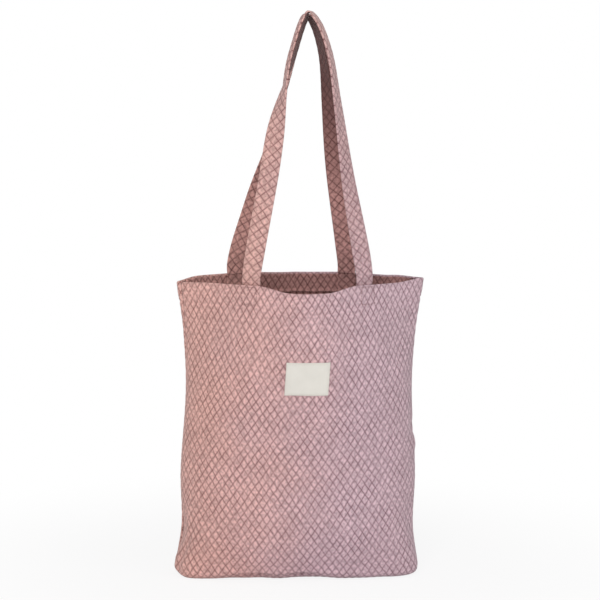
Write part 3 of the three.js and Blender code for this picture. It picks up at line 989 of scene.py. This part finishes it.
def sewn(name, side, rows, to_cloth, lift, material):
    """Bends rows of stitches onto the bag. to_cloth turns a row's own (x, y) into (s, down)."""
    bm = bmesh.new()
    for first, last in rows:
        stitch_row(bm, first, last)
    mesh = bpy.data.meshes.new(name)
    bm.to_mesh(mesh)
    bm.free()
    flat = read_points(mesh)
    s, down = to_cloth(flat[:, 0], flat[:, 1])
    points = on_surface(side, s, rim_height(side, s) - down, 0 * s, flat[:, 2] + lift)
    mesh.vertices.foreach_set("co", points.ravel())
    # down runs against the height, so the flat layout is mirrored and its faces are turned
    bm = bmesh.new()
    bm.from_mesh(mesh)
    bmesh.ops.recalc_face_normals(bm, faces=bm.faces)
    bm.to_mesh(mesh)
    bm.free()
    return new_object(name, mesh, [material])


def rectangle(width, height):
    """The four sides of a rectangle round the origin, as rows of stitches."""
    x, y = width / 2, height / 2
    corners = [(-x, -y), (x, -y), (x, y), (-x, y)]
    return list(zip(corners, corners[1:] + corners[:1]))


box_size = (strap_width - 5 * MM, hem_depth - 6 * MM)
box_drop = 3 * MM + box_size[1] / 2
stitch_count = 0
for where, side, hand, leg in legs:
    name = f"{where} {hand} box stitching"
    piece = sewn(name, side, rectangle(*box_size),
                 lambda x, y, s0=leg_place(side, leg): (s0 + x, box_drop + y), stitch_lift, thread)
    stands_for(piece, "bag", "thread", name.replace(" ", "_"))
    stitch_count += len(piece.data.vertices) // stitch_points

for where, side in (("front", 1), ("back", -1)):
    name = where + " hem stitching"
    row = [((-(half - hem_corner_gap), 0), (half - hem_corner_gap - mouth_creep, 0))]
    piece = sewn(name, side, row, lambda x, y: (x, hem_stitch_drop + y), stitch_lift, thread)
    stands_for(piece, "bag", "thread", name.replace(" ", "_"))
    stitch_count += len(piece.data.vertices) // stitch_points

# %% [markdown]
# ## The label
#
# A small woven label, its left and right ends folded under so that they are a little
# thicker, sewn down all round. It is left blank.

# %% Label and its stitching
label_face = 1.7 * MM


def label_to_cloth(x, y):
    """The label's own (x, y), y upwards, to the panel's (s, down)."""
    return x, label_drop - y


def label_place(across, along):
    x, y = (across - 0.5) * label_size[0], (along - 0.5) * label_size[1]
    s, down = label_to_cloth(x, y)
    from_end = label_size[0] / 2 - np.abs(x)
    folded = 0.35 * MM * (1 - smooth(5 * MM, 6.5 * MM, from_end))
    from_edge = np.minimum(from_end, label_size[1] / 2 - np.abs(y))
    turned_down = -0.5 * MM * (1 - smooth(0, 0.8 * MM, from_edge))
    between_stitches = -0.25 * MM * np.exp(-((from_edge - 2 * MM) / (0.7 * MM)) ** 2)
    out = label_face - 0.3 * MM + folded + turned_down + between_stitches
    points = on_surface(1, s, rim_height(1, s) - down, 0 * s, out)
    return points, np.stack([x, y], axis=-1)


piece = sheet_piece("woven label", 90, 68, label_place, [label_cloth], 0.9 * MM)
stands_for(piece, "bag", "label", "woven_label")
piece = sewn("label stitching", 1, rectangle(label_size[0] - 4 * MM, label_size[1] - 4 * MM),
             label_to_cloth, label_face, label_thread)
stands_for(piece, "bag", "label_thread", "label_stitching")
stitch_count += len(piece.data.vertices) // stitch_points
print("stitches:", stitch_count)

# %% [markdown]

# %% [markdown]
# ## Studio
#
# A pale floor that fades to white, soft light from a big white room, one large soft lamp to
# the front left and a weaker one to the right. The camera stands low and far away, a little
# to the left, with a long lens.

# %% Floor and light
studio = bpy.data.materials.new("pale floor")
studio.use_nodes = True
tree = studio.node_tree
paper = tree.nodes["Principled BSDF"]
paper.inputs["Base Color"].default_value = linear("#fbfafb")
paper.inputs["Roughness"].default_value = 1.0
paper.inputs["Specular IOR Level"].default_value = 0.0
here = add_node(tree, "ShaderNodeTexCoord").outputs["Object"]
away = add_node(tree, "ShaderNodeVectorMath", {0: here}, operation="LENGTH").outputs["Value"]
fade = add_node(tree, "ShaderNodeMapRange", {"Value": away, "From Min": 0.2, "From Max": 0.7,
                                             "To Min": 0.85}, interpolation_type="SMOOTHSTEP")
seen = add_node(tree, "ShaderNodeLightPath")
seen_white = add_node(tree, "ShaderNodeMath", {0: fade.outputs["Result"], 1: seen.outputs["Is Camera Ray"]},
                      operation="MULTIPLY")
white = add_node(tree, "ShaderNodeEmission", {"Color": (1, 1, 1, 1), "Strength": 1.0})
mixed = add_node(tree, "ShaderNodeMixShader", {"Fac": seen_white.outputs[0], 1: paper.outputs[0],
                                               2: white.outputs[0]})
tree.links.new(mixed.outputs[0], tree.nodes["Material Output"].inputs["Surface"])

bm = bmesh.new()
bmesh.ops.create_grid(bm, x_segments=8, y_segments=8, size=4.0)
mesh = bpy.data.meshes.new("floor")
bm.to_mesh(mesh)
bm.free()
floor = bpy.data.objects.new("floor", mesh)
bpy.context.scene.collection.objects.link(floor)
mesh.materials.append(studio)

world = bpy.context.scene.world or bpy.data.worlds.new("white room")
bpy.context.scene.world = world
world.use_nodes = True
tree = world.node_tree
tree.nodes.clear()
seen = add_node(tree, "ShaderNodeLightPath")
direct = add_node(tree, "ShaderNodeMath", {0: seen.outputs["Is Camera Ray"],
                                           1: seen.outputs["Is Glossy Ray"]}, operation="MAXIMUM")
direct = add_node(tree, "ShaderNodeMath", {0: direct.outputs[0], 1: seen.outputs["Is Transmission Ray"]},
                  operation="MAXIMUM")
room = add_node(tree, "ShaderNodeBackground", {"Color": (1, 1, 1, 1), "Strength": 0.5})
backdrop = add_node(tree, "ShaderNodeBackground", {"Color": (1, 1, 1, 1), "Strength": 1.0})
mixed = add_node(tree, "ShaderNodeMixShader", {"Fac": direct.outputs[0], 1: room.outputs[0],
                                               2: backdrop.outputs[0]})
add_node(tree, "ShaderNodeOutputWorld", {"Surface": mixed.outputs[0]})


def soft_lamp(name, place, aim, size, power):
    data = bpy.data.lights.new(name, "AREA")
    data.shape = "DISK"
    data.size = size
    data.energy = power
    lamp = bpy.data.objects.new(name, data)
    bpy.context.scene.collection.objects.link(lamp)
    lamp.location = place
    lamp.rotation_euler = (Vector(place) - Vector(aim)).to_track_quat("Z", "Y").to_euler()
    return lamp


key = soft_lamp("key", (-0.7, -3.0, 1.7), (0, 0, 0.3), 1.6, 46)
fill = soft_lamp("fill", (2.2, -1.8, 1.2), (0, 0, 0.3), 1.6, 11)

# %% Camera
azimuth, elevation = math.radians(-5), math.radians(7.5)
roll = math.radians(0.7)
distance = 3.0
frame_width = 0.81               # what the picture's width covers at the bag, in metres
towards = Vector((math.sin(azimuth) * math.cos(elevation), -math.cos(azimuth) * math.cos(elevation),
                  math.sin(elevation)))
right = Vector((math.cos(azimuth), math.sin(azimuth), 0))
upwards = towards.cross(right)
aim = -0.0003 * right + 0.368 * upwards
camera_data = bpy.data.cameras.new("camera")
camera_data.sensor_width = 36
camera_data.lens = 36 * distance / frame_width
camera = bpy.data.objects.new("camera", camera_data)
bpy.context.scene.collection.objects.link(camera)
camera.location = aim + towards * distance
camera.rotation_euler = (towards.to_track_quat("Z", "Y") @ Quaternion((0, 0, 1), roll)).to_euler()
bpy.context.scene.camera = camera
bpy.context.scene.view_settings.view_transform = "Standard"
print("lens, mm:", round(camera_data.lens))

# %% Boxes as plain lists
def plain(box):
    return [[float(v) for v in corner] for corner in box]
